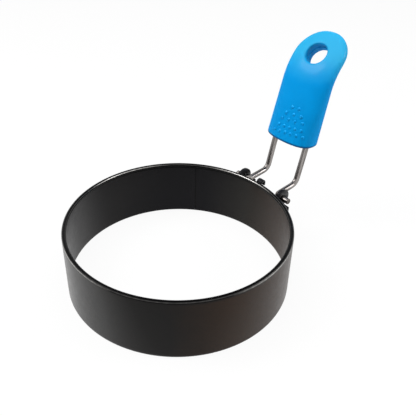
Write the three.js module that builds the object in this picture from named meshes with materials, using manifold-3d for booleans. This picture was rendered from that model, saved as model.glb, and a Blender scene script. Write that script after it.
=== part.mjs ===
// Egg ring: a rolled steel band with a folding wire handle in a silicone grip. Millimetres, +Z up.
// The handle points along +X. The two legs of the wire lie on either side of the plane y = 0.
import * as THREE from 'three';
import { mergeVertices } from 'three/addons/utils/BufferGeometryUtils.js';
import Module from 'manifold-3d';

const wasm = await Module();
wasm.setup();

// Band
const bandRadius = 50;
const bandHeight = 29.2;
const sheetThickness = 0.8;
const bottomFlare = 0.4;
const rimThickness = 1.9;

// Wire handle
const wireDiameter = 2.8;
const legSpacing = 19;
const axisStandoff = 3.5;
const axisDrop = 4.6;
const lowerLegLength = 14.1;
const stubLength = 3.9;
const footCornerRadius = 2;
const legBendRadius = 4;
const lowerLegRise = THREE.MathUtils.degToRad(4.6);
const upperLegSlope = THREE.MathUtils.degToRad(77);

// Silicone grip
const bareLegLength = 20.4;
const gripStraight = 26.9;
const gripBendRadius = 26.4;
const gripBendAngle = THREE.MathUtils.degToRad(36);
const gripTipLength = 10.7;
const gripWidth = 26.9;
const gripThicknessBottom = 15.6;
const gripThicknessTip = 7.5;
const gripEndRadius = 13.9;
const gripEndLean = THREE.MathUtils.degToRad(9.6);
const hangHoleDiameter = 10.2;
const hangHoleInset = 13.5;

// Hinge bracket
const bracketThickness = 1;
const barHeight = 7;
const barRise = 0.8;
const seatHalfWidth = 6;
const wingHalfSpan = 21.3;
const earRadius = 4.5;
const earThickness = 1.5;
const restTabWidth = 2.4;
const restTabReach = 4.5;
const lugWidth = 3.1;
const lugRadius = 1.75;
const lugOverRim = 0.3;
const lugTongue = 1.5;

// Clearances, and how far a cut runs past what it cuts
const contactGap = 0.3;
const pivotClearance = 0.3;
const sleeveClearance = 0.3;
const earSideGap = 1.1;
const overrun = 1;

// Shares and counts
const superellipsePower = 2.56;
const earShoulderAngle = THREE.MathUtils.degToRad(130);
const tipRoundingShare = 0.995;
const tipRoundingPower = 6;
const bandSegments = 96;
const rimSegments = 12;
const wireSides = 12;
const wireSteps = 130;
const gripSides = 36;
const gripSteps = 30;
const holeSegments = 32;
const curveSegments = 12;

const wireRadius = wireDiameter / 2;
const halfSpacing = legSpacing / 2;
const axisX = bandRadius + axisStandoff;
const axisZ = bandHeight - axisDrop;
const bendX = axisX + lowerLegLength * Math.cos(lowerLegRise);
const bendZ = axisZ + lowerLegLength * Math.sin(lowerLegRise);
const arcStart = bareLegLength + gripStraight;
const arcEnd = arcStart + gripBendRadius * gripBendAngle;
const handleEnd = arcEnd + gripTipLength;
const holeAlong = handleEnd - hangHoleInset;
const earInner = halfSpacing + wireRadius + earSideGap;
const footEnd = earInner + earThickness + stubLength;
const barTop = axisZ + barRise;
const barBottom = barTop - barHeight;
const barRadius = wallRadiusAt(barBottom) + contactGap;

const blackCoating = { color: 0x2a2725, roughness: 0.42, metalness: 0.35 };
const brightWire = { color: 0xc4c2bf, roughness: 0.22, metalness: 1 };
const blueSilicone = { color: 0x0a92dd, roughness: 0.5, metalness: 0 };

function makeMesh(name, geometry, finish) {
  const mesh = new THREE.Mesh(geometry, new THREE.MeshStandardMaterial(finish));
  mesh.name = name;
  return mesh;
}

// Closed geometry to solid and back, for cutting and joining
function toSolid(geometry) {
  const bare = geometry.clone();
  bare.deleteAttribute('normal');
  bare.deleteAttribute('uv');
  const welded = mergeVertices(bare);
  const vertProperties = new Float32Array(welded.attributes.position.array);
  const triVerts = new Uint32Array(welded.index.array);
  return new wasm.Manifold(new wasm.Mesh({ numProp: 3, vertProperties, triVerts }));
}

function toGeometry(solid) {
  const { vertProperties, triVerts } = solid.getMesh();
  const geometry = new THREE.BufferGeometry();
  geometry.setAttribute('position', new THREE.BufferAttribute(vertProperties, 3));
  geometry.setIndex(new THREE.BufferAttribute(triVerts, 1));
  geometry.computeVertexNormals();
  return geometry;
}

// Outside radius of the wall, which widens slightly towards the pan
function wallRadiusAt(height) {
  return bandRadius + bottomFlare * (1 - height / bandHeight);
}

// Band profile: outer wall, rim rolled inward over a half round, inner wall
function bandGeometry() {
  const beadRadius = rimThickness / 2;
  const beadX = bandRadius - beadRadius;
  const beadZ = bandHeight - beadRadius;
  const innerTop = bandRadius - sheetThickness;
  const meetAngle = Math.PI + Math.acos((beadX - innerTop) / beadRadius);
  const profile = [new THREE.Vector2(wallRadiusAt(0), 0)];
  for (let i = 0; i <= rimSegments; i++) {
    const angle = (meetAngle * i) / rimSegments;
    profile.push(new THREE.Vector2(beadX + beadRadius * Math.cos(angle), beadZ + beadRadius * Math.sin(angle)));
  }
  profile.push(new THREE.Vector2(wallRadiusAt(0) - sheetThickness, 0));
  profile.push(profile[0].clone());
  return new THREE.LatheGeometry(profile, bandSegments).rotateX(Math.PI / 2);
}

// A plate drawn in side view, x outward and y up, and given its width along Y about a middle plane
function sidePlate(shape, width, middle) {
  const options = { depth: width, bevelEnabled: false, curveSegments };
  return new THREE.ExtrudeGeometry(shape, options)
    .rotateX(Math.PI / 2)
    .translate(0, middle + width / 2, 0);
}

// Straight bar whose middle is curved to seat on the band
function barGeometry() {
  const seatAngle = Math.asin(seatHalfWidth / barRadius);
  const outerRadius = barRadius + bracketThickness;
  const wingLength = (wingHalfSpan - seatHalfWidth) / Math.cos(seatAngle);
  const wingTip = (radius, side) => new THREE.Vector2(
    radius * Math.cos(seatAngle) - wingLength * Math.sin(seatAngle),
    side * (radius * Math.sin(seatAngle) + wingLength * Math.cos(seatAngle)),
  );
  const outline = new THREE.Shape();
  outline.moveTo(...wingTip(outerRadius, 1));
  outline.lineTo(...wingTip(barRadius, 1));
  outline.absarc(0, 0, barRadius, seatAngle, -seatAngle, true);
  outline.lineTo(...wingTip(barRadius, -1));
  outline.lineTo(...wingTip(outerRadius, -1));
  outline.absarc(0, 0, outerRadius, -seatAngle, seatAngle, false);
  const options = { depth: barHeight, bevelEnabled: false, curveSegments };
  return new THREE.ExtrudeGeometry(outline, options).translate(0, 0, barBottom);
}

// Middle of the bar's thickness at a distance to the side of the mid-plane
function barMiddleAt(side) {
  const seatAngle = Math.asin(seatHalfWidth / barRadius);
  const wing = side - seatHalfWidth;
  return (barRadius + bracketThickness / 2) * Math.cos(seatAngle) - wing * Math.tan(seatAngle);
}

// Round-topped ear with the hole that a foot of the wire turns in
function earGeometry(side) {
  const root = barMiddleAt(earInner + earThickness);
  const outline = new THREE.Shape();
  outline.moveTo(root, axisZ - earRadius);
  outline.lineTo(axisX, axisZ - earRadius);
  outline.absarc(axisX, axisZ, earRadius, -Math.PI / 2, earShoulderAngle, false);
  outline.lineTo(root, barTop);
  const hole = new THREE.Path();
  hole.absarc(axisX, axisZ, wireRadius + pivotClearance, 0, 2 * Math.PI, true);
  outline.holes.push(hole);
  return sidePlate(outline, earThickness, side * (earInner + earThickness / 2));
}

// Tab under a lower leg, parallel to it, that the leg rests on
function restTabGeometry(side) {
  const root = barMiddleAt(halfSpacing + restTabWidth / 2);
  const slope = Math.tan(lowerLegRise);
  const top = axisZ - (wireRadius + contactGap) / Math.cos(lowerLegRise);
  const tip = axisX + restTabReach;
  const topAt = (x) => top + (x - axisX) * slope;
  const outline = new THREE.Shape();
  outline.moveTo(root, topAt(root) - bracketThickness);
  outline.lineTo(tip, topAt(tip) - bracketThickness);
  outline.lineTo(tip, topAt(tip));
  outline.lineTo(root, topAt(root));
  return sidePlate(outline, restTabWidth, side * halfSpacing);
}

// Lug that rises from the middle of the bar and curls outward beside the rim
function lugGeometry() {
  const inner = barRadius;
  const centreX = inner + lugRadius;
  const centreZ = bandHeight + lugOverRim - lugRadius;
  const innerRadius = lugRadius - bracketThickness;
  const foot = barTop - bracketThickness;
  const outline = new THREE.Shape();
  outline.moveTo(inner, foot);
  outline.lineTo(inner, centreZ);
  outline.absarc(centreX, centreZ, lugRadius, Math.PI, 0, true);
  outline.lineTo(centreX + lugRadius, centreZ - lugTongue);
  outline.lineTo(centreX + innerRadius, centreZ - lugTongue);
  outline.absarc(centreX, centreZ, innerRadius, 0, Math.PI, false);
  outline.lineTo(inner + bracketThickness, foot);
  return sidePlate(outline, lugWidth, 0);
}

function bracketGeometry() {
  let bracket = toSolid(barGeometry()).add(toSolid(lugGeometry()));
  for (const side of [-1, 1]) {
    bracket = bracket.add(toSolid(earGeometry(side))).add(toSolid(restTabGeometry(side)));
  }
  return toGeometry(bracket);
}

// Mid line of the raised part of the handle, measured from the bend of the legs
function midLine(along) {
  const turned = THREE.MathUtils.clamp(along - arcStart, 0, arcEnd - arcStart) / gripBendRadius;
  const slope = upperLegSlope - turned;
  const straight = Math.min(along, arcStart);
  const beyond = Math.max(along - arcEnd, 0);
  const x = bendX + straight * Math.cos(upperLegSlope) + beyond * Math.cos(slope)
    + gripBendRadius * (Math.sin(upperLegSlope) - Math.sin(slope));
  const z = bendZ + straight * Math.sin(upperLegSlope) + beyond * Math.sin(slope)
    + gripBendRadius * (Math.cos(slope) - Math.cos(upperLegSlope));
  return { x, z, slope };
}

// Point of the raised part from its place along the mid line, to the side of it and above its face
function handlePoint(along, side, above) {
  const { x, z, slope } = midLine(along);
  return new THREE.Vector3(x - above * Math.sin(slope), side, z + above * Math.cos(slope));
}

// Up one leg, round the hang hole and down the other leg
class HandleLoop extends THREE.Curve {
  constructor(start) {
    super();
    this.start = start;
  }

  getPoint(share) {
    const leg = holeAlong - this.start;
    const loop = Math.PI * halfSpacing;
    const distance = share * (2 * leg + loop);
    if (distance < leg) {
      return handlePoint(this.start + distance, -halfSpacing, 0);
    }
    if (distance > leg + loop) {
      return handlePoint(holeAlong - (distance - leg - loop), halfSpacing, 0);
    }
    const angle = (distance - leg) / halfSpacing;
    return handlePoint(holeAlong + halfSpacing * Math.sin(angle), -halfSpacing * Math.cos(angle), 0);
  }
}

// Route of the whole wire: a foot, a lower leg, the loop in the grip, a lower leg and a foot
function wireRoute() {
  const legTurn = upperLegSlope - lowerLegRise;
  const bendRound = legBendRadius * Math.tan(legTurn / 2);
  const foot = (side) => new THREE.Vector3(axisX, side * footEnd, axisZ);
  const footCorner = (side) => new THREE.Vector3(axisX, side * halfSpacing, axisZ);
  const bend = (side) => new THREE.Vector3(bendX, side * halfSpacing, bendZ);
  const toward = (from, to, distance) => from.clone().lerp(to, distance / from.distanceTo(to));
  const half = (side) => {
    const footStop = toward(footCorner(side), foot(side), footCornerRadius);
    const legStart = toward(footCorner(side), bend(side), footCornerRadius);
    const legStop = toward(bend(side), footCorner(side), bendRound);
    const riseStart = handlePoint(bendRound, side * halfSpacing, 0);
    return { footStop, legStart, legStop, riseStart };
  };
  const near = half(-1);
  const far = half(1);
  const route = new THREE.CurvePath();
  route.add(new THREE.LineCurve3(foot(-1), near.footStop));
  route.add(new THREE.QuadraticBezierCurve3(near.footStop, footCorner(-1), near.legStart));
  route.add(new THREE.LineCurve3(near.legStart, near.legStop));
  route.add(new THREE.QuadraticBezierCurve3(near.legStop, bend(-1), near.riseStart));
  route.add(new HandleLoop(bendRound));
  route.add(new THREE.QuadraticBezierCurve3(far.riseStart, bend(1), far.legStop));
  route.add(new THREE.LineCurve3(far.legStop, far.legStart));
  route.add(new THREE.QuadraticBezierCurve3(far.legStart, footCorner(1), far.footStop));
  route.add(new THREE.LineCurve3(far.footStop, foot(1)));
  return route;
}

function wireGeometry(radius) {
  const section = new THREE.Shape().absarc(0, 0, radius, 0, 2 * Math.PI, false);
  const options = { steps: wireSteps, curveSegments: wireSides / 2, extrudePath: wireRoute() };
  return new THREE.ExtrudeGeometry(section, options);
}

// Unit section of the grip, a squared ellipse
function gripSection() {
  const points = [];
  for (let i = 0; i < gripSides; i++) {
    const angle = (2 * Math.PI * i) / gripSides;
    const squared = (value) => Math.sign(value) * Math.abs(value) ** (2 / superellipsePower);
    points.push(new THREE.Vector2(squared(Math.cos(angle)), squared(Math.sin(angle))));
  }
  return new THREE.Shape(points);
}

// Half width and half thickness of the grip at a place along the mid line
function gripHalfSize(along) {
  const taper = Math.min((along - bareLegLength) / (holeAlong - bareLegLength), 1);
  const thickness = THREE.MathUtils.lerp(gripThicknessBottom, gripThicknessTip, taper);
  const intoTip = Math.max(along - (handleEnd - gripEndRadius), 0) / gripEndRadius;
  const width = gripWidth * Math.sqrt(1 - intoTip ** 2);
  return { width: width / 2, thickness: (thickness / 2) * Math.sqrt(1 - intoTip ** tipRoundingPower) };
}

// The section is drawn out along the mid line, with closer steps towards the round tip. The lower end
// leans, lower on the side of the ring, and the lean fades out towards the tip.
function gripBodyGeometry() {
  const options = { depth: 1, steps: gripSteps, bevelEnabled: false };
  const geometry = new THREE.ExtrudeGeometry(gripSection(), options);
  const position = geometry.attributes.position;
  const gripLength = handleEnd - bareLegLength;
  for (let i = 0; i < position.count; i++) {
    const share = Math.sin((position.getZ(i) * Math.PI) / 2) * tipRoundingShare;
    const along = bareLegLength + gripLength * share;
    const half = gripHalfSize(along);
    const above = position.getY(i) * half.thickness;
    const lean = above * Math.tan(gripEndLean) * (1 - share);
    const point = handlePoint(along - lean, position.getX(i) * half.width, above);
    position.setXYZ(i, point.x, point.y, point.z);
  }
  return geometry;
}

function hangHoleGeometry() {
  const { slope } = midLine(holeAlong);
  const length = gripThicknessBottom + overrun;
  const centre = handlePoint(holeAlong, 0, 0);
  return new THREE.CylinderGeometry(hangHoleDiameter / 2, hangHoleDiameter / 2, length, holeSegments)
    .rotateX(Math.PI / 2)
    .rotateY(-slope)
    .translate(centre.x, centre.y, centre.z);
}

function gripGeometry() {
  const tunnel = toSolid(wireGeometry(wireRadius + sleeveClearance));
  const hole = toSolid(hangHoleGeometry());
  return toGeometry(toSolid(gripBodyGeometry()).subtract(tunnel).subtract(hole));
}

const eggRing = new THREE.Group();
eggRing.add(
  makeMesh('ring_band', bandGeometry(), blackCoating),
  makeMesh('hinge_bracket', bracketGeometry(), blackCoating),
  makeMesh('wire_handle', wireGeometry(wireRadius), brightWire),
  makeMesh('grip', gripGeometry(), blueSilicone),
);

// The origin goes under the middle of the whole part, on the surface it stands on
const box = new THREE.Box3().setFromObject(eggRing);
const middle = box.getCenter(new THREE.Vector3());
eggRing.position.set(-middle.x, -middle.y, -box.min.z);

export default eggRing;
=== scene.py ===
import bpy
import bmesh
from math import asin, atan2, cos, degrees, exp, log, pi, radians, sin, sqrt, tan
from mathutils import Matrix, Vector


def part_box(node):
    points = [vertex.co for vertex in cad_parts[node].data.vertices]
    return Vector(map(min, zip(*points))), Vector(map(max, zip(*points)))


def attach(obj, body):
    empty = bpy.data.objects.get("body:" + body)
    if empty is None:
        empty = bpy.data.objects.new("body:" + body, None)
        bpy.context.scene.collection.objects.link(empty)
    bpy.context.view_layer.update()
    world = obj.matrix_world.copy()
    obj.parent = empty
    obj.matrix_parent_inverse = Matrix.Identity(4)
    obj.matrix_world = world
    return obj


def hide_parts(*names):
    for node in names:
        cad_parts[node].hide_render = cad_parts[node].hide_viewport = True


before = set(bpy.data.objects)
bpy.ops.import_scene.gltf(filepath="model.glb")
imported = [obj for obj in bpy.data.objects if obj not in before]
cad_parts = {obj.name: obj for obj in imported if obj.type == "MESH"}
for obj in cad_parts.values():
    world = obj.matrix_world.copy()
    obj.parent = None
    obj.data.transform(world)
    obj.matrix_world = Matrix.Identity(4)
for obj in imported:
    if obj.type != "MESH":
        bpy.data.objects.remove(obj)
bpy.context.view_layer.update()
print("frame loaded:", ", ".join(sorted(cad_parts)))

# sizes are in mm and places are counted from the middle of the band on the pan, handle along +x
mm = 0.001
touch = 0.01    # mm, places closer than this count as one
merge = 0.003    # mm, points closer than this become one
bandLow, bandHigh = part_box("ring_band")
ringMiddle = Vector(((bandLow.x + bandHigh.x) / 2, 0, 0))


def at(x, y, z):
    return ringMiddle + Vector((x, y, z)) * mm


# the moves of hand modelling, with sizes in mm

def add(kind, name, **settings):
    if bpy.context.object and bpy.context.object.mode == "EDIT":
        bpy.ops.object.mode_set(mode="OBJECT")
    bpy.ops.object.select_all(action="DESELECT")
    getattr(bpy.ops.mesh, f"primitive_{kind}_add")(**settings)
    piece = bpy.context.object
    piece.name = piece.data.name = name
    bpy.ops.object.transform_apply(location=True, rotation=True, scale=True)
    bpy.ops.object.mode_set(mode="EDIT")
    return piece


def pick(test, kind="VERT"):    # selects what passes a test on its place
    bpy.ops.mesh.select_mode(type=kind)
    bpy.ops.mesh.select_all(action="DESELECT")
    mesh = bmesh.from_edit_mesh(bpy.context.object.data)
    for part in {"VERT": mesh.verts, "EDGE": mesh.edges, "FACE": mesh.faces}[kind]:
        ends = [part.co] if kind == "VERT" else [vert.co for vert in part.verts]
        place = (sum(ends, Vector()) / len(ends) - ringMiddle) / mm
        if test(place):
            part.select_set(True)
    mesh.select_flush(True)
    bmesh.update_edit_mesh(bpy.context.object.data)


def pull(x=0, y=0, z=0):
    bpy.ops.mesh.extrude_region_move(TRANSFORM_OT_translate={"value": Vector((x, y, z)) * mm})


def push(x=0, y=0, z=0):
    bpy.ops.transform.translate(value=Vector((x, y, z)) * mm)


def size(x, y, z, centre):
    bpy.ops.transform.resize(value=(x, y, z), center_override=centre)


def turn(angle, centre, axis="Y"):    # transform.rotate counts the other way round
    bpy.ops.transform.rotate(value=-radians(angle), orient_axis=axis, center_override=centre)


def sweep(angle, steps, centre, axis):    # so does spin
    bpy.ops.mesh.spin(steps=steps, angle=-radians(angle), center=centre, axis=axis)


def roundOff(width, segments, kind="EDGES"):
    bpy.ops.mesh.bevel(offset=width * mm, segments=segments, affect=kind, clamp_overlap=True)


def closeUp(piece):    # one skin, facing outwards
    bpy.ops.mesh.select_mode(type="VERT")
    bpy.ops.mesh.select_all(action="SELECT")
    bpy.ops.mesh.remove_doubles(threshold=merge * mm)
    bpy.ops.mesh.normals_make_consistent(inside=False)
    bpy.ops.object.mode_set(mode="OBJECT")
    return piece


def use(piece, kind, **settings):    # a modifier, applied at once
    bpy.ops.object.select_all(action="DESELECT")
    bpy.context.view_layer.objects.active = piece
    piece.select_set(True)
    modifier = piece.modifiers.new(kind.title(), kind)
    for name, value in settings.items():
        setattr(modifier, name, value)
    bpy.ops.object.modifier_apply(modifier=modifier.name)


def combine(piece, other, how):
    use(piece, "BOOLEAN", object=other, operation=how, solver="EXACT")
    bpy.data.objects.remove(other)


def smooth(piece, angle=35):
    bpy.ops.object.select_all(action="DESELECT")
    bpy.context.view_layer.objects.active = piece
    piece.select_set(True)
    bpy.ops.object.shade_smooth_by_angle(angle=radians(angle))


# the band: a rolled strip with its upper edge curled inward

band = dict(radius=50, height=29.2, sheet=0.8, flare=0.4, rim=1.9, rimSides=32, edgeRound=0.25,
            turns=192, wallLines=(27.2, 21, 14, 7, 1.2, 0),
            seamAt=40.3, seamHalf=0.8, seamLow=1, seamHigh=27, seamSlope=0.3, seamProud=0.07, seamFlat=0.27,
            grooveSlope=0.05, grooveDepth=0.4)


def wallAt(z):
    return band["radius"] + band["flare"] * (1 - z / band["height"])


def rollBand():
    bead = band["rim"] / 2
    beadX, beadZ = band["radius"] - bead, band["height"] - bead
    piece = add("circle", "ringBand", vertices=band["rimSides"], radius=bead * mm, fill_type="NOTHING",
                location=at(beadX, 0, beadZ), rotation=(pi / 2, 0, 0))
    pick(lambda p: p.z < beadZ - touch and p.x > beadX + touch)    # opens the underside of the curl
    bpy.ops.mesh.delete(type="VERT")
    outerStart, innerStart = Vector((band["radius"], 0, beadZ)), Vector((beadX, 0, beadZ - bead))
    for inset, start in ((0, outerStart), (band["sheet"], innerStart)):
        pick(lambda p: (p - start).length < 2 * touch)
        x, z = start.x, start.z
        for line in band["wallLines"]:
            nextX = wallAt(line) - inset
            pull(x=nextX - x, z=line - z)
            x, z = nextX, line
    pick(lambda p: p.z < touch)
    bpy.ops.mesh.edge_face_add()
    roundOff(band["edgeRound"], 3, "VERTICES")
    bpy.ops.mesh.select_all(action="SELECT")
    sweep(360, band["turns"], ringMiddle, (0, 0, 1))
    closeUp(piece)
    return piece


def weldSeam(piece):    # on the inner wall
    bpy.ops.object.mode_set(mode="EDIT")
    out = Vector((cos(radians(band["seamAt"])), sin(radians(band["seamAt"])), 0))
    beside = Vector((out.y, -out.x, 0))
    innerWall = band["radius"] - band["sheet"] / 4    # inner faces lie within it, outer ones beyond
    pick(lambda p: p.dot(out) > 0 and abs(p.dot(beside)) < band["seamHalf"]
         and band["seamLow"] < p.z < band["seamHigh"] and p.xy.length < innerWall, "FACE")
    bpy.ops.mesh.inset(thickness=band["seamSlope"] * mm)
    push(*(-out * band["seamProud"]))    # the weld stands a little proud
    bpy.ops.mesh.inset(thickness=band["seamFlat"] * mm)
    bpy.ops.mesh.inset(thickness=band["grooveSlope"] * mm)
    push(*(out * band["grooveDepth"]))    # with a fine groove down its middle
    closeUp(piece)


ringBand = rollBand()
weldSeam(ringBand)
smooth(ringBand, 40)
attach(ringBand, "ring")
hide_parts("ring_band")
print("band rolled")

# the hinge bracket: a bar on the wall with two ears, two rest tabs and a curled lug

bracket = dict(stock=1, gap=0.3, edge=0.18, barHeight=7, barTop=25.4, barSteps=12, seat=6,
               wing=21.3, wingRound=1.6, earInner=12, earStock=1.5, earRadius=4.5, earShoulder=130, earSides=72,
               earDrop=0.2, footHole=1.7, holeSides=48, tabWidth=2.4, tabReach=4.5,
               lugWidth=3.1, lugRadius=1.75, lugTop=29.5, lugTongue=1.5, lugGap=0.03, lugSteps=14)
hinge = dict(x=53.5, z=24.6)


def seatRadius():
    return wallAt(bracket["barTop"] - bracket["barHeight"]) + bracket["gap"]


def barMiddle(y):    # x of the bar's mid-thickness
    lean = bracket["seat"] / seatRadius()
    level = sqrt(1 - lean ** 2)
    return (seatRadius() + bracket["stock"] / 2) * level - (y - bracket["seat"]) * lean / level


def soften(piece):    # the soft edges of a pressing
    use(piece, "BEVEL", width=bracket["edge"] * mm, segments=2, limit_method="ANGLE",
        angle_limit=radians(40))


def makeBar():
    stock, height = bracket["stock"], bracket["barHeight"]
    middleZ = bracket["barTop"] - height / 2
    middle = at(seatRadius() + stock / 2, 0, middleZ)
    lean = degrees(asin(bracket["seat"] / seatRadius()))
    piece = add("plane", "hingeBracket", size=mm, location=middle, rotation=(pi / 2, 0, 0))
    size(stock, 1, height, middle)
    turn(-lean, ringMiddle, "Z")
    sweep(2 * lean, bracket["barSteps"], ringMiddle, (0, 0, 1))
    length = (bracket["wing"] - bracket["seat"]) / cos(radians(lean))
    for side in (1, -1):
        radial = Vector((cos(radians(lean)), side * sin(radians(lean)), 0))
        along = Vector((-sin(radians(lean)), side * cos(radians(lean)), 0))
        pick(lambda p: abs(p.dot(along)) < touch and p.dot(radial) > 0 and side * p.y > 0, "FACE")
        pull(*(along * length))
        pick(lambda p: abs(p.dot(along) - length) < touch and abs(abs(p.z - middleZ) - height / 2) < touch
             and side * p.y > bracket["seat"], "EDGE")
        roundOff(bracket["wingRound"], 5)
    closeUp(piece)
    soften(piece)
    return piece


def makeEar(side):
    inner, stock, radius = bracket["earInner"], bracket["earStock"], bracket["earRadius"]
    y = side * (inner if side > 0 else inner + stock)
    root, top = barMiddle(inner + stock), bracket["barTop"] - bracket["earDrop"]
    shoulder = radians(bracket["earShoulder"])

    def turned(p):    # in degrees, from the handle's side upwards
        return degrees(atan2(p.z - hinge["z"], p.x - hinge["x"])) % 360

    piece = add("circle", "ear", vertices=bracket["earSides"], radius=radius * mm, fill_type="NOTHING",
                location=at(hinge["x"], y, hinge["z"]), rotation=(pi / 2, 0, 0))
    pick(lambda p: bracket["earShoulder"] + 1 < turned(p) < 269)
    bpy.ops.mesh.delete(type="VERT")
    pick(lambda p: abs(turned(p) - 270) < 1)
    pull(x=root - hinge["x"])
    pick(lambda p: abs(turned(p) - bracket["earShoulder"]) < 1)
    pull(x=root - hinge["x"] - radius * cos(shoulder), z=top - hinge["z"] - radius * sin(shoulder))
    bpy.ops.mesh.select_all(action="SELECT")
    bpy.ops.mesh.edge_face_add()
    pull(y=stock)
    closeUp(piece)
    hole = add("cylinder", "footHole", vertices=bracket["holeSides"], radius=bracket["footHole"] * mm,
               depth=4 * stock * mm, location=at(hinge["x"], y, hinge["z"]), rotation=(pi / 2, 0, 0))
    combine(piece, closeUp(hole), "DIFFERENCE")
    soften(piece)
    return piece


def makeTab(side):    # the lower leg of the wire rests on it
    rise = radians(wire["rise"])
    half = wire["spacing"] / 2
    top = hinge["z"] - (wire["diameter"] / 2 + bracket["gap"]) / cos(rise)
    root, tip = barMiddle(half + bracket["tabWidth"] / 2), hinge["x"] + bracket["tabReach"]
    piece = add("cube", "tab", size=mm, scale=(tip - root, bracket["tabWidth"], bracket["stock"]),
                location=at((root + tip) / 2, side * half, top - bracket["stock"] / 2))
    pick(lambda p: p.x > tip - touch)
    push(z=(tip - hinge["x"]) * tan(rise))
    pick(lambda p: p.x < root + touch)
    push(z=(root - hinge["x"]) * tan(rise))
    closeUp(piece)
    soften(piece)
    return piece


def makeLug():
    stock, radius = bracket["stock"], bracket["lugRadius"]
    inner = seatRadius() + bracket["lugGap"]
    foot, curl = bracket["barTop"] - stock, bracket["lugTop"] - radius
    piece = add("plane", "lug", size=mm, location=at(inner + stock / 2, 0, foot))
    size(stock, bracket["lugWidth"], 1, at(inner + stock / 2, 0, foot))
    pull(z=curl - foot)
    sweep(180, bracket["lugSteps"], at(inner + radius, 0, curl), (0, 1, 0))
    pull(z=-bracket["lugTongue"])
    closeUp(piece)
    soften(piece)
    return piece


# the wire handle: foot, lower leg, bend, upright leg and the loop hidden in the grip, then mirrored

wire = dict(diameter=2.8, sides=28, spacing=19, foot=17.4, corner=2, lowerLeg=14.1, rise=4.6, bend=4,
            slope=77, endRound=0.35, cornerSteps=10, bendSteps=14, gripSteps=10, loopSteps=14)
grip = dict(bare=20.4, straight=26.9, bendRadius=26.4, bend=36, tip=10.7, width=26.9, thick=15.6, thin=7.5,
            endRadius=13.9, endFullness=6, endLean=9.6, power=2.56, cornerSides=18,
            edgeRound=1.0, edgeSteps=5, steps=60, lastStep=0.9985,
            hole=10.2, holeInset=13.5, holeSides=96, holeClear=6, mouth=0.7, ridge=0.4, ridgeSides=12,
            socket=1.6, socketDepth=8, socketSides=48, voxel=0.32)
arcStart = grip["bare"] + grip["straight"]
arcEnd = arcStart + grip["bendRadius"] * radians(grip["bend"])
handleEnd = arcEnd + grip["tip"]
holeAlong = handleEnd - grip["holeInset"]
bendPoint = Vector((hinge["x"] + wire["lowerLeg"] * cos(radians(wire["rise"])), 0,
                    hinge["z"] + wire["lowerLeg"] * sin(radians(wire["rise"]))))


def midLine(along):    # place and slope of the raised part, counted from the bend of the legs
    turned = min(max(along - arcStart, 0), arcEnd - arcStart) / grip["bendRadius"]
    low, high = radians(wire["slope"]) - turned, radians(wire["slope"])
    straight, beyond = min(along, arcStart), max(along - arcEnd, 0)
    x = straight * cos(high) + beyond * cos(low) + grip["bendRadius"] * (sin(high) - sin(low))
    z = straight * sin(high) + beyond * sin(low) + grip["bendRadius"] * (cos(low) - cos(high))
    return bendPoint + Vector((x, 0, z)), low


holePlace, holeSlope = midLine(holeAlong)
holeAxis = Vector((-sin(holeSlope), 0, cos(holeSlope)))


def bendWire():
    half, corner = wire["spacing"] / 2, wire["corner"]
    rise, slope = radians(wire["rise"]), radians(wire["slope"])
    low = Vector((cos(rise), 0, sin(rise)))
    lowUp = Vector((-sin(rise), 0, cos(rise)))
    high = Vector((cos(slope), 0, sin(slope)))
    side = Vector((0, half, 0))
    tangent = wire["bend"] * tan((slope - rise) / 2)
    footEnd = at(hinge["x"], wire["foot"], hinge["z"])
    piece = add("circle", "wireHandle", vertices=wire["sides"], radius=wire["diameter"] / 2 * mm,
                fill_type="NGON", location=footEnd, rotation=(pi / 2, 0, 0))
    pull(y=half + corner - wire["foot"])
    footCorner = Vector((hinge["x"], 0, hinge["z"])) + side
    sweep(90, wire["cornerSteps"], at(*(footCorner + low * corner + Vector((0, corner, 0)))), lowUp)
    pull(*(low * (wire["lowerLeg"] - corner - tangent)))
    legStop = bendPoint + side - low * tangent
    bendMiddle = legStop + lowUp * wire["bend"]
    sweep(wire["slope"] - wire["rise"], wire["bendSteps"], at(*bendMiddle), (0, -1, 0))
    pull(*(high * (arcStart - tangent)))
    start, _ = midLine(arcStart)
    gripMiddle = start + side + Vector((sin(slope), 0, -cos(slope))) * grip["bendRadius"]
    turned = degrees((holeAlong - arcStart) / grip["bendRadius"])
    sweep(turned, wire["gripSteps"], at(*gripMiddle), (0, 1, 0))
    sweep(90, wire["loopSteps"], at(*holePlace), -holeAxis)
    pick(lambda p: abs(p.y) < touch, "FACE")
    bpy.ops.mesh.delete(type="FACE")
    pick(lambda p: p.y > wire["foot"] - touch, "EDGE")
    roundOff(wire["endRound"], 3)    # the cut end of the foot
    closeUp(piece)
    use(piece, "MIRROR", use_axis=(False, True, False), use_mirror_merge=True, merge_threshold=touch * mm)
    bpy.ops.object.mode_set(mode="EDIT")
    closeUp(piece)
    smooth(piece, 50)
    return piece


wireHandle = bendWire()
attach(wireHandle, "handle")
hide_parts("wire_handle")
print("wire bent")

hingeBracket = makeBar()
for side in (1, -1):
    combine(hingeBracket, makeEar(side), "UNION")
    combine(hingeBracket, makeTab(side), "UNION")
combine(hingeBracket, makeLug(), "UNION")
smooth(hingeBracket, 35)
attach(hingeBracket, "ring")
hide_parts("hinge_bracket")
print("bracket stamped and folded")


# the silicone grip: a squared oval drawn along the mid line, with the hang hole and sockets for the legs

def gripHalfSize(along):
    taper = min(max((along - grip["bare"]) / (holeAlong - grip["bare"]), 0), 1)
    thickness = grip["thick"] + (grip["thin"] - grip["thick"]) * taper
    intoTip = max(along - (handleEnd - grip["endRadius"]), 0) / grip["endRadius"]
    halfWidth = grip["width"] / 2 * sqrt(max(1 - intoTip ** 2, 0))
    return halfWidth, thickness / 2 * sqrt(max(1 - intoTip ** grip["endFullness"], 0))


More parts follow.
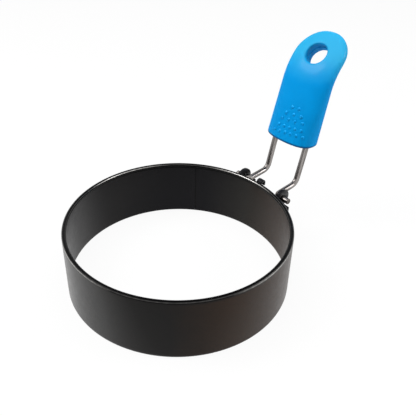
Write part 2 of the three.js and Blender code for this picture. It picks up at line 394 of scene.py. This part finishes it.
def gripStations():    # along the mid line, with what is rounded off the lower edge
    stations = []
    edge, edgeSteps, steps = grip["edgeRound"], grip["edgeSteps"], grip["steps"]
    for step in range(edgeSteps + 1):
        angle = step / edgeSteps * pi / 2
        stations.append((grip["bare"] + edge * (1 - cos(angle)), edge * (1 - sin(angle))))
    first = grip["bare"] + edge
    for step in range(1, steps + 1):
        share = sin(step / steps * pi / 2) * grip["lastStep"]
        stations.append((first + (handleEnd - first) * share, 0))
    return stations


def mouldGrip():
    stations = gripStations()
    place, slope = midLine(grip["bare"])
    lean = radians(grip["endLean"])
    fullWidth, fullThickness = gripHalfSize(grip["bare"])
    cut = stations[0][1]
    halfWidth, halfThickness = fullWidth - cut, fullThickness - cut
    profile = exp(-2 * log(2) / grip["power"])    # bevel's own number for this squared oval
    piece = add("plane", "siliconeGrip", size=2 * mm)
    bpy.ops.mesh.bevel(offset=mm, segments=grip["cornerSides"], profile=profile, affect="VERTICES",
                       clamp_overlap=True)
    bpy.ops.mesh.remove_doubles(threshold=merge * mm)
    size(halfThickness, halfWidth, 1, (0, 0, 0))
    angle = slope + lean
    turn(90 - degrees(angle), (0, 0, 0))
    bpy.ops.transform.translate(value=at(*place))
    for along, cut in stations[1:]:
        nextPlace, nextSlope = midLine(along)
        share = (along - grip["bare"]) / (handleEnd - grip["bare"])
        nextAngle = nextSlope + lean * (1 - share)
        wide, thick = gripHalfSize(along)
        wide, thick = wide - cut, thick - cut
        pull(*(nextPlace - place))
        turn(degrees(angle - nextAngle), at(*nextPlace))
        size(thick / halfThickness, wide / halfWidth, thick / halfThickness, at(*nextPlace))
        place, angle, halfWidth, halfThickness = nextPlace, nextAngle, wide, thick
    closeUp(piece)
    return piece


def cutGrip(piece):
    half, mouth = grip["thin"] / 2, grip["mouth"]
    wider = 1 + 2 * mouth / grip["hole"]
    tool = add("cylinder", "holeTool", vertices=grip["holeSides"], radius=grip["hole"] / 2 * mm,
               depth=2 * (half - mouth) * mm, location=at(*holePlace), rotation=(0, -holeSlope, 0))
    for way in (1, -1):    # the mouths of the hole open out
        pick(lambda p: way * (p - holePlace).dot(holeAxis) > half - mouth - 5 * touch, "FACE")
        pull(*(holeAxis * way * mouth))
        size(wider, wider, wider, at(*(holePlace + holeAxis * way * half)))
        pull(*(holeAxis * way * grip["holeClear"]))
    combine(piece, closeUp(tool), "DIFFERENCE")
    foot, slope = midLine(grip["bare"])
    for side in (1, -1):
        tool = add("cylinder", "socketTool", vertices=grip["socketSides"], radius=grip["socket"] * mm,
                   depth=grip["socketDepth"] * mm, location=at(foot.x, side * wire["spacing"] / 2, foot.z),
                   rotation=(0, pi / 2 - slope, 0))
        combine(piece, closeUp(tool), "DIFFERENCE")


def softenSkin(piece):    # one even skin, smoothed most round the hang hole
    use(piece, "REMESH", mode="VOXEL", voxel_size=grip["voxel"] * mm, use_smooth_shade=True)
    rim = piece.vertex_groups.new(name="holeRim")
    for vert in piece.data.vertices:
        place = (vert.co - ringMiddle) / mm - holePlace
        out = (place - holeAxis * place.dot(holeAxis)).length
        rim.add([vert.index], max(0, 1 - abs(out - grip["hole"] / 2) / 2), "REPLACE")
    use(piece, "SMOOTH", factor=0.5, iterations=4)
    use(piece, "SMOOTH", factor=0.7, iterations=8, vertex_group="holeRim")


siliconeGrip = mouldGrip()
cutGrip(siliconeGrip)
print("grip drawn out:", len(siliconeGrip.data.polygons), "faces")
softenSkin(siliconeGrip)
print("grip moulded:", len(siliconeGrip.data.polygons), "faces")

# the grip dots: one low dome, copied over both faces, more of them in each row towards the lower end

stud = dict(radius=0.75, height=0.5, sink=0.2, sides=16, levels=5, domeTo=82,
            middle=-1.8, climb=0.085, dropFrom=30,
            rows=((36.6, 2, 3.8), (33.4, 3, 4.3), (30.5, 4, 3.85), (27.1, 5, 3.2), (24.2, 6, 3.2)))


def makeStud():
    radius, height, sink = stud["radius"], stud["height"], stud["sink"]
    piece = add("circle", "gripStud", vertices=stud["sides"], radius=radius * mm, fill_type="NGON",
                location=(0, 0, -sink * mm))
    pull(z=sink)
    reach, level = radius, 0
    for step in range(1, stud["levels"] + 1):
        angle = step / stud["levels"] * radians(stud["domeTo"])
        nextReach, nextLevel = radius * cos(angle), height * sin(angle)
        pull(z=nextLevel - level)
        size(nextReach / reach, nextReach / reach, 1, (0, 0, 0))
        reach, level = nextReach, nextLevel
    closeUp(piece)
    return piece


def join(piece, others):
    bpy.ops.object.select_all(action="DESELECT")
    for other in others:
        other.select_set(True)
    piece.select_set(True)
    bpy.context.view_layer.objects.active = piece
    bpy.ops.object.join()


def studFaces(piece):
    first, copies = makeStud(), []
    for face in (1, -1):
        for along, count, spacing in stud["rows"]:
            for number in range(count):
                offset = (number - (count - 1) / 2) * spacing
                across = stud["middle"] + offset
                place, slope = midLine(along - stud["climb"] * offset)
                away = face * Vector((-sin(slope), 0, cos(slope)))
                above = at(place.x, across, place.z) + away * (stud["dropFrom"] * mm)
                _, spot, normal, _ = piece.ray_cast(above, -away)
                facing = normal.to_track_quat("Z", "Y").to_matrix().to_4x4()
                copy = first.copy()
                copy.data = first.data.copy()
                bpy.context.collection.objects.link(copy)
                copy.matrix_world = Matrix.Translation(spot) @ facing
                copies.append(copy)
    bpy.data.objects.remove(first)
    bpy.context.view_layer.update()
    join(copies[0], copies[1:])
    combine(piece, copies[0], "UNION")


def addPartingLine(piece):    # where the two halves of the mould met, inside the hang hole
    ridge = add("torus", "partingLine", major_radius=grip["hole"] / 2 * mm, minor_radius=grip["ridge"] * mm,
                major_segments=grip["holeSides"], minor_segments=grip["ridgeSides"],
                location=at(*holePlace), rotation=(0, -holeSlope, 0))
    combine(piece, closeUp(ridge), "UNION")


studFaces(siliconeGrip)
addPartingLine(siliconeGrip)
print("dots raised")
smooth(siliconeGrip, 180)
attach(siliconeGrip, "handle")
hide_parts("grip")


# shader maths: a socket that takes part in sums

class Term:
    def __init__(self, paint, socket):
        self.paint, self.socket = paint, socket

    def _math(self, operation, first, second):
        return self.paint.node("ShaderNodeMath", dict(operation=operation), {0: first, 1: second})

    def __add__(self, other):
        return self._math("ADD", self, other)

    def __radd__(self, other):
        return self._math("ADD", other, self)

    def __sub__(self, other):
        return self._math("SUBTRACT", self, other)

    def __rsub__(self, other):
        return self._math("SUBTRACT", other, self)

    def __mul__(self, other):
        return self._math("MULTIPLY", self, other)

    def __rmul__(self, other):
        return self._math("MULTIPLY", other, self)


class Paint:
    def __init__(self, owner):    # a material, or the world
        self.owner = owner
        owner.use_nodes = True
        self.nodes, self.links = owner.node_tree.nodes, owner.node_tree.links
        self.nodes.clear()

    def node(self, kind, settings=None, inputs=None, output=0):
        made = self.nodes.new(kind)
        for name, value in (settings or {}).items():
            setattr(made, name, value)
        for name, value in (inputs or {}).items():
            if isinstance(value, Term):
                self.links.new(value.socket, made.inputs[name])
            else:
                made.inputs[name].default_value = value
        if len(made.outputs):
            return Term(self, made.outputs[output])

    def part(self, vector, axis):
        return self.node("ShaderNodeSeparateXYZ", inputs={0: vector}, output=axis)

    def place(self):
        return self.node("ShaderNodeTexCoord", output="Object")

    def spot(self):    # x, y and z in mm from the middle of the band, as at() takes them
        x, y, z = (self.part(self.place(), axis) * (1 / mm) for axis in "XYZ")
        return x - ringMiddle.x / mm, y, z

    def slant(self):    # 0 where the surface faces the eye, 1 at its outline
        return self.node("ShaderNodeLayerWeight", inputs={"Blend": 0.5}, output="Facing")

    def sight(self):    # 1 for what is seen directly, mirrored in metal or through glass
        camera, glossy, through = (self.node("ShaderNodeLightPath", output=f"Is {kind} Ray")
                                   for kind in ("Camera", "Glossy", "Transmission"))
        return self.ramp(camera + glossy + through, 0, 1)

    def noise(self, scale, detail=3, roughness=0.5, stretch=(1, 1, 1)):
        spot = self.node("ShaderNodeMapping", inputs={"Vector": self.place(), "Scale": stretch})
        inputs = {"Vector": spot, "Scale": scale, "Detail": detail, "Roughness": roughness}
        return self.node("ShaderNodeTexNoise", inputs=inputs)

    def ramp(self, factor, none, full):    # 0 up to none, 1 from full on, whichever of them is larger
        return self.node("ShaderNodeMapRange", inputs={"Value": factor, "From Min": none, "From Max": full})

    def window(self, factor, rise, fall):
        return self.ramp(factor, *rise) * self.ramp(factor, *fall)

    def blend(self, factor, first, second):
        inputs = {"Factor": factor, 6: first, 7: second}
        return self.node("ShaderNodeMix", dict(data_type="RGBA"), inputs, output=2)

    def bump(self, height, strength, distance):
        inputs = {"Height": height, "Strength": strength, "Distance": distance}
        return self.node("ShaderNodeBump", inputs=inputs)

    def finish(self, **inputs):
        named = {key.replace("_", " "): value for key, value in inputs.items()}
        shader = self.node("ShaderNodeBsdfPrincipled", inputs=named)
        self.node("ShaderNodeOutputMaterial", inputs={"Surface": shader})
        return self.owner


def srgb(red, green, blue):    # a colour as the screen shows it
    parts = (value / 255 for value in (red, green, blue))
    return tuple(((c + 0.055) / 1.055) ** 2.4 if c > 0.04 else c / 12.92 for c in parts) + (1,)


def square(*reaches):
    return [reach ** 2 for reach in reaches]


# the black coating, with what years of use and heat did to the band, and painted light on it: paler sides of
# the inner wall, painted shade in the rim's crease and on its crest, painted highlights along the rim; lines of
# the rim are in mm under its top

black = dict(cloud=20, patchy=(0.4, 0.6), mottle=420, mottled=(0.4, 0.62), grain=2600, bump=(0.12, 0.0002),
             cool=(srgb(9, 10, 16), srgb(15, 14, 18)), brown=(srgb(13, 11, 10), srgb(22, 17, 14)),
             paintedLight=srgb(37, 35, 32), heated=srgb(42, 26, 12), paintedShade=srgb(6, 6, 7),
             wearAndHighlight=srgb(190, 188, 185), film=0.34, filmSlant=(0.36, 0.52), filmRough=0.22,
             rough=0.3, roughDrift=0.05, index=1.22)
wearAndPaintedLight = dict(innerWall=(49.9, 49.6), outerWall=(49, 49.2), wallUnder=(1, 2),
            heatWay=(0.5, -1), heatFrom=(30.25, 60.25), heatDrift=30, paintedLightFrom=(10, 32), paintedLightLeft=0.35,
            creaseShadeUnder=(3, 2.3), crestShadeUnder=(0.95, 0.75),
            lowLine=((1, 0.85), (0.4, 0.5)), lowFrom=(22, 36), lowTo=(49, 45),
            highLine=((0.66, 0.5), (0.17, 0.28)), highFrom=(7, 22), highTo=(42, 32),
            allRound=0.12, patchiness=0.4, wearAndHighlightShare=0.9, polish=0.16, shadeMetal=0.85,
            heatLoss=0.6, innerLoss=0.4, right=(0.727, -0.687))    # right as the photo shows it


def coating(name, agedAndPaintedLight=False):
    paint = Paint(bpy.data.materials.new(name))
    cloud = paint.noise(black["cloud"])
    patches = paint.ramp(cloud, *black["patchy"])
    mottle = paint.ramp(paint.noise(black["mottle"], detail=4, roughness=0.6), *black["mottled"])
    grain = paint.noise(black["grain"], detail=2, roughness=0.6)
    colour = paint.blend(patches, *black["cool"])
    film = black["film"] * paint.ramp(paint.slant(), *black["filmSlant"])    # shows where the wall turns away
    rough = black["rough"] + black["roughDrift"] * (mottle + grain)
    metal = 0.0
    if agedAndPaintedLight:
        x, y, z = paint.spot()
        under, out = band["height"] - z, x * x + y * y
        across = wearAndPaintedLight["right"][0] * x + wearAndPaintedLight["right"][1] * y
        far = across * across
        inner = paint.ramp(out, *square(*wearAndPaintedLight["innerWall"]))
        outer = paint.ramp(out, *square(*wearAndPaintedLight["outerWall"]))

        outside = paint.blend(patches, *black["brown"])
        colour = paint.blend(inner, outside, colour)    # the inner wall is the cooler one
        # painted light: the inner wall is painted paler towards the right and left as the camera sees it, for
        # the bright surroundings it mirrors there
        right, left = paint.ramp(across, *wearAndPaintedLight["paintedLightFrom"]), paint.ramp(-1 * across, *wearAndPaintedLight["paintedLightFrom"])
        colour = paint.blend(inner * (right + wearAndPaintedLight["paintedLightLeft"] * left), colour, black["paintedLight"])
        side = wearAndPaintedLight["heatWay"][0] * x + wearAndPaintedLight["heatWay"][1] * y + wearAndPaintedLight["heatDrift"] * cloud
        warm = paint.ramp(under, *wearAndPaintedLight["wallUnder"]) * paint.ramp(side, *wearAndPaintedLight["heatFrom"])
        colour = paint.blend(warm, colour, black["heated"])    # browner on one side, as from heat
        creaseShade = inner * paint.ramp(under, *wearAndPaintedLight["creaseShadeUnder"])    # painted shade in the crease under the curl of the rim
        paintedDark = paint.ramp(creaseShade + paint.ramp(under, *wearAndPaintedLight["crestShadeUnder"]), 0, 1)
        # painted shade: the crease and the crest of the rim are painted near black
        colour = paint.blend(paintedDark, colour, black["paintedShade"])

        # painted highlight: pale lines on the rim's flanks, laid only where the lamps would be mirrored as the
        # camera sees them, partly wear
        low, high = paint.window(under, *wearAndPaintedLight["lowLine"]), paint.window(under, *wearAndPaintedLight["highLine"])
        lowPart = paint.window(far, square(*wearAndPaintedLight["lowFrom"]), square(*wearAndPaintedLight["lowTo"]))
        highPart = paint.window(far, square(*wearAndPaintedLight["highFrom"]), square(*wearAndPaintedLight["highTo"]))
        wearAndHighlight = low * outer * lowPart + high * (1 - outer) * highPart
        wearAndHighlightMask = wearAndPaintedLight["allRound"] * high + (1 - wearAndPaintedLight["allRound"]) * wearAndHighlight    # the bright lines of the rim: mostly painted highlights where the lamps are mirrored, over a little even wear all round
        wearAndHighlightMask = wearAndHighlightMask * (1 - wearAndPaintedLight["patchiness"] + wearAndPaintedLight["patchiness"] * mottle)
        colour = paint.blend(wearAndPaintedLight["wearAndHighlightShare"] * wearAndHighlightMask, colour, black["wearAndHighlight"])
        film = film * (1 - wearAndPaintedLight["heatLoss"] * warm) * (1 - wearAndPaintedLight["innerLoss"] * inner) * (1 - paintedDark)
        rough = rough - wearAndPaintedLight["polish"] * wearAndHighlightMask
        # painted shade: metallic over the near-black colour, so these lines mirror nothing
        metal = wearAndPaintedLight["shadeMetal"] * paintedDark
    return paint.finish(Base_Color=colour, Metallic=metal, Roughness=rough, IOR=black["index"],
                        Coat_Weight=film, Coat_Roughness=black["filmRough"],
                        Normal=paint.bump(grain, *black["bump"]))


# the wire: bright steel with the streaks of the drawing die along its legs

steel = dict(cloud=260, clouded=(0.35, 0.65), fine=3000, bump=(0.08, 0.0001),
             streak=1500, streakStretch=(0.03, 1, 0.03), streaked=(0.4, 0.6),
             dull=srgb(96, 92, 90), clear=srgb(168, 163, 160), edgeTint=(0.1, 0.1, 0.1, 1),
             rough=0.2, cloudRough=0.06, fineRough=0.04)


def bright():
    paint = Paint(bpy.data.materials.new("brightWire"))
    cloud = paint.ramp(paint.noise(steel["cloud"], detail=4), *steel["clouded"])
    fine = paint.noise(steel["fine"], roughness=0.6)
    streaks = paint.noise(steel["streak"], roughness=0.6, stretch=steel["streakStretch"])
    drawn = paint.ramp(streaks, *steel["streaked"])
    colour = paint.blend(drawn, steel["dull"], steel["clear"])
    rough = steel["rough"] + steel["cloudRough"] * cloud + steel["fineRough"] * fine
    return paint.finish(Base_Color=colour, Metallic=1.0, Specular_Tint=steel["edgeTint"], Roughness=rough,
                        Normal=paint.bump(fine, *steel["bump"]))


# the silicone: deep blue, with painted light on the raised tip where the grip is thin, painted highlights on
# the tops of its dots and painted shade in the hole and on the lower end, with heights in mm

blue = dict(cloud=55, clouded=(0.35, 0.65), fine=1800, bump=(0.15, 0.00015),
            deep=(srgb(0, 144, 216), srgb(0, 150, 223)), thin=srgb(40, 165, 215),
            tipLightFrom=(76, 87), tipLightDrift=4, boreShade=srgb(0, 146, 206), boreShadeReach=(5.9, 5.2),
            lowEnd=srgb(0, 92, 150), lowShadeReach=(1.5, 0.9),
            dot=srgb(50, 190, 245), dotHighlightShare=0.9, dotCurve=(0.53, 0.6), dotsAcross=((-11.1, -10.7), (7.5, 7.1)),
            dotsUpTo=(67, 65), gloss=0.05, extraGloss=0.17, shinyFrom=(74, 82), shinySlant=(0.6, 0.3),
            glossRough=0.22, rough=0.45, cloudRough=0.04, fineRough=0.06, specular=0.05, index=1.42)


def silicone():
    paint = Paint(bpy.data.materials.new("blueSilicone"))
    x, y, z = paint.spot()
    cloud = paint.ramp(paint.noise(blue["cloud"]), *blue["clouded"])
    fine = paint.noise(blue["fine"], roughness=0.6)
    # painted light: the raised tip is painted paler, as if lit more from overhead; this is also where the grip
    # is thin
    thin = paint.ramp(z + blue["tipLightDrift"] * cloud, *blue["tipLightFrom"])
    colour = paint.blend(thin, paint.blend(cloud, *blue["deep"]), blue["thin"])

    up = (x - holePlace.x) * cos(holeSlope) + (z - holePlace.z) * sin(holeSlope)
    boreShade = paint.ramp(up * up + y * y, *square(*blue["boreShadeReach"]))
    colour = paint.blend(boreShade, colour, blue["boreShade"])    # painted shade, deeper inside the hole
    lowEnd, slope = midLine(grip["bare"])
    slope += radians(grip["endLean"])
    above = (x - lowEnd.x) * cos(slope) + (z - lowEnd.z) * sin(slope)
    lowEndShade = paint.ramp(above, *blue["lowShadeReach"])
    colour = paint.blend(lowEndShade, colour, blue["lowEnd"])    # and painted shade on the lower end
    # painted highlight: the curved tops of the dots are painted paler, where the lamps would catch them
    curved = paint.ramp(paint.node("ShaderNodeNewGeometry", output="Pointiness"), *blue["dotCurve"])
    raised = paint.window(y, *blue["dotsAcross"]) * paint.ramp(z, *blue["dotsUpTo"]) * curved
    colour = paint.blend(blue["dotHighlightShare"] * raised, colour, blue["dot"])

    gloss = blue["gloss"] + blue["extraGloss"] * paint.ramp(z, *blue["shinyFrom"])    # most round the hole
    gloss = gloss * paint.ramp(paint.slant(), *blue["shinySlant"])
    rough = blue["rough"] + blue["cloudRough"] * cloud + blue["fineRough"] * fine
    return paint.finish(Base_Color=colour, Roughness=rough, IOR=blue["index"],
                        Specular_IOR_Level=blue["specular"], Coat_Weight=gloss,
                        Coat_Roughness=blue["glossRough"], Normal=paint.bump(fine, *blue["bump"]))


def dress(piece, material):
    piece.data.materials.clear()
    piece.data.materials.append(material)


dress(ringBand, coating("bandCoating", agedAndPaintedLight=True))
dress(hingeBracket, coating("bracketCoating"))
dress(wireHandle, bright())
dress(siliconeGrip, silicone())
print("finishes mixed")

# the studio: a white floor that keeps a faint shadow, a white surround and soft lamps

studio = dict(floor=2.4, drop=0.0002, floorWhite=0.88, floorGlow=0.92, white=(1, 1, 1, 1),
              horizon=0.1, zenith=0.22, zenithFrom=0.8)
lamps = (dict(name="topLamp", place=(-0.1, 0.02, 0.75), width=0.9, power=5, mirrored=False),
         dict(name="leftLamp", place=(-0.38, 0.35, 0.56), width=0.34, power=2.4, mirrored=True),
         dict(name="rightLamp", place=(0.45, -0.43, 0.42), width=0.3, power=1.8, mirrored=True))


def makeFloor():
    piece = add("plane", "studioFloor", size=studio["floor"], location=(0, 0, -studio["drop"]))
    bpy.ops.mesh.subdivide(number_cuts=4)
    closeUp(piece)
    paint = Paint(bpy.data.materials.new("studioWhite"))
    diffuse = paint.node("ShaderNodeBsdfDiffuse", inputs={"Color": (studio["floorWhite"],) * 3 + (1,)})
    glow = paint.node("ShaderNodeEmission", inputs={"Color": studio["white"], "Strength": 1.0})
    share = studio["floorGlow"] * paint.sight()    # the rest keeps the object's shadow
    mix = paint.node("ShaderNodeMixShader", inputs={0: share, 1: diffuse, 2: glow})
    paint.node("ShaderNodeOutputMaterial", inputs={"Surface": mix})
    piece.data.materials.append(paint.owner)


def makeSurround():    # brighter overhead than at the horizon, and plain white where it is seen
    world = bpy.data.worlds.new("studioSurround")
    bpy.context.scene.world = world
    paint = Paint(world)
    height = paint.part(paint.node("ShaderNodeTexCoord", output="Generated"), "Z")
    overhead = paint.ramp(height, 0, studio["zenithFrom"])
    light = studio["horizon"] + (studio["zenith"] - studio["horizon"]) * overhead
    level = light + paint.sight() * (1 - light)
    background = paint.node("ShaderNodeBackground", inputs={"Color": studio["white"], "Strength": level})
    paint.node("ShaderNodeOutputWorld", inputs={"Surface": background})


def makeLamp(name, place, width, power, mirrored):
    bpy.ops.object.light_add(type="AREA", location=place)
    lamp = bpy.context.object
    lamp.name = name
    lamp.data.shape = "DISK"
    lamp.data.size = width
    lamp.data.energy = power
    lamp.visible_glossy = mirrored
    lamp.rotation_euler = (-Vector(place)).to_track_quat("-Z", "Y").to_euler()    # aimed at the object


makeFloor()
makeSurround()
for lamp in lamps:
    makeLamp(**lamp)
print("studio lit")

# the camera stands where the photo's did

view = dict(place=(-117.804, -142.401, 165.182), heading=-43.434, down=34.976, roll=2.136,
            lens=45.51, sensor=36, clip=(0.01, 20))
bpy.ops.object.camera_add()
camera = bpy.context.object
camera.data.lens, camera.data.sensor_width = view["lens"], view["sensor"]
camera.data.clip_start, camera.data.clip_end = view["clip"]
camera.matrix_world = (Matrix.Translation(at(*view["place"]))
                       @ Matrix.Rotation(radians(view["heading"]), 4, "Z")
                       @ Matrix.Rotation(radians(90 - view["down"]), 4, "X")
                       @ Matrix.Rotation(radians(view["roll"]), 4, "Z"))
scene = bpy.context.scene
scene.camera = camera
scene.view_settings.view_transform = "Standard"
print("camera set")
